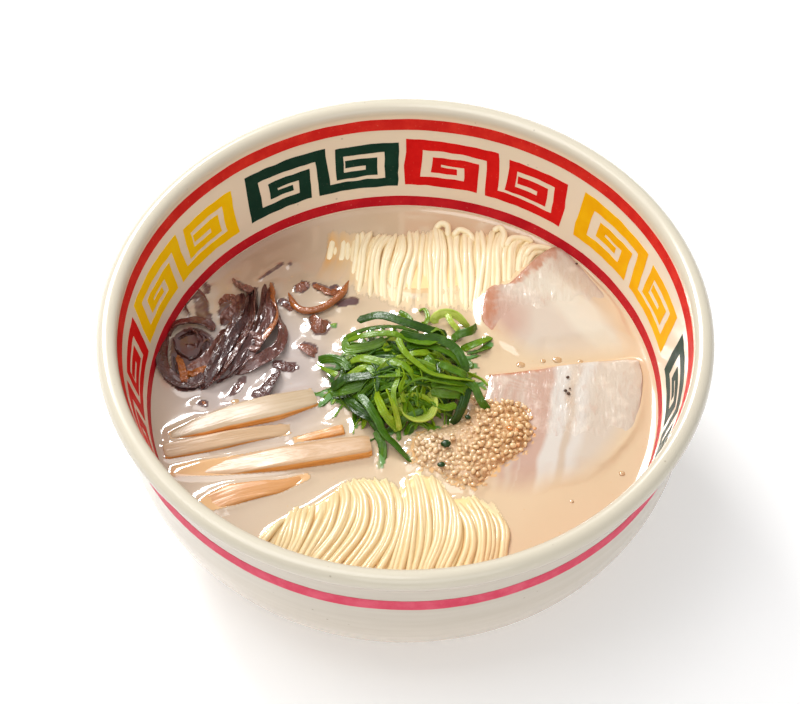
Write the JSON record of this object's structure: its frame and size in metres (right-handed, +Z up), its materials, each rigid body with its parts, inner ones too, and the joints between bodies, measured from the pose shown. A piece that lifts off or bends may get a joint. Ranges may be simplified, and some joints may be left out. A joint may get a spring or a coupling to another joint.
{
  "type": "ramen bowl",
  "caption": "Round glazed bowl with a rolled lip and a foot ring, holding milky broth, noodles, sliced pork, bamboo shoots, wood ear, scallions and sesame.",
  "frame": {"origin": "centre of the foot ring on the table", "axes": "+Z up along the bowl's axis, +X to the right and +Y away from a diner who has the noodles' ends and the bowl's near rim at -Y"},
  "size_m": [0.2, 0.2, 0.084],
  "materials": {
    "cream_glaze": "clear gloss glaze over a cream body, with painted bands",
    "milky_broth": "wet, milky, smooth",
    "noodle": "wet, satin",
    "braised_pork": "wet, marbled",
    "bamboo_shoot": "wet, fibrous",
    "wood_ear": "wet, wrinkled",
    "scallion": "wet, ribbed leaf",
    "sesame": "toasted, oily"
  },
  "bodies": {
    "root": {"bowl": "cream_glaze", "broth": "milky_broth", "noodles_back": "noodle", "noodles_front": "noodle", "pork_slice_back": "braised_pork", "pork_slice_front": "braised_pork", "bamboo_shoot_1": "bamboo_shoot", "bamboo_shoot_2": "bamboo_shoot", "bamboo_shoot_3": "bamboo_shoot", "bamboo_shoot_4": "bamboo_shoot", "bamboo_shoot_5": "bamboo_shoot", "wood_ear_fold": "wood_ear", "wood_ear_bundle": "wood_ear", "wood_ear_curl": "wood_ear", "wood_ear_flake_1": "wood_ear", "wood_ear_flake_2": "wood_ear", "wood_ear_flake_3": "wood_ear", "wood_ear_flake_4": "wood_ear", "wood_ear_flake_5": "wood_ear", "wood_ear_flake_6": "wood_ear", "scallion_heap": "scallion", "sesame_heap": "sesame"}
  },
  "joints": []
}
